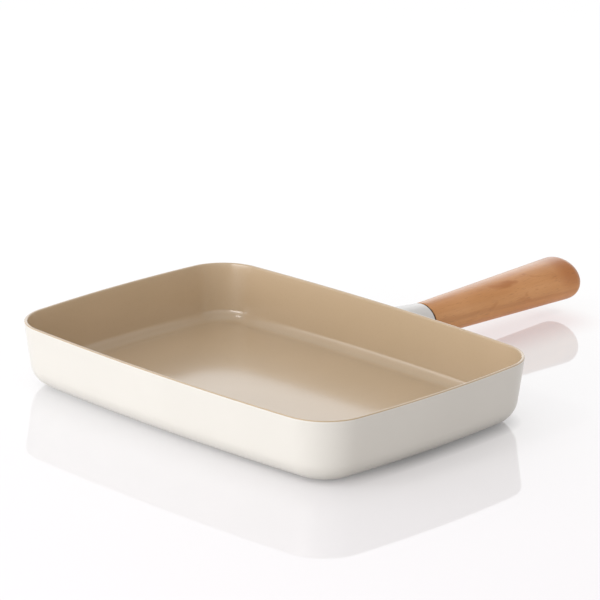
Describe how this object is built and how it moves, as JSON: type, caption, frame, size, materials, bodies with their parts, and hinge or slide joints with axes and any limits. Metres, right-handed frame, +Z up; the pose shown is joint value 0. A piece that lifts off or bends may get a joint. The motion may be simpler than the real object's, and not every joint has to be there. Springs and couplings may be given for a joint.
{
  "type": "rectangular omelette pan",
  "caption": "Rectangular non-stick omelette pan with bowed sides, drafted walls, round corners and a fixed, round-tipped oval wooden handle on a long side.",
  "frame": {"origin": "middle of the flat base, at the level of the hob", "axes": "+X along the long side of the pan, +Y towards the handle, +Z up"},
  "size_m": [0.2798, 0.3663, 0.0416],
  "materials": {
    "body_aluminium": "satin, turned on the base",
    "ceramic_lining": "satin beige non-stick ceramic coat",
    "white_lacquer": "smooth satin-gloss, warm off-white",
    "plate_steel": "ground, perforated",
    "stud_aluminium": "bare",
    "bracket_steel": "pickled",
    "fastener_steel": "bright plated",
    "ferrule_lacquer": "smooth satin-gloss, off-white",
    "seal_silicone": "matt dark brown silicone",
    "handle_wood": "fine lengthwise grain, oiled satin"
  },
  "bodies": {
    "root": {"pan_body": "body_aluminium", "inner_lining": "ceramic_lining", "outer_lacquer": "white_lacquer", "base_plate": "plate_steel", "weld_studs": "stud_aluminium", "handle_bracket": "bracket_steel", "stud_washers": "fastener_steel", "stud_nuts": "fastener_steel", "handle_ferrule": "ferrule_lacquer", "seal_ring": "seal_silicone", "wooden_handle": "handle_wood", "clinch_nut": "fastener_steel", "screw_washer": "fastener_steel", "screw_spring_washer": "fastener_steel", "handle_screw": "fastener_steel"}
  },
  "joints": []
}
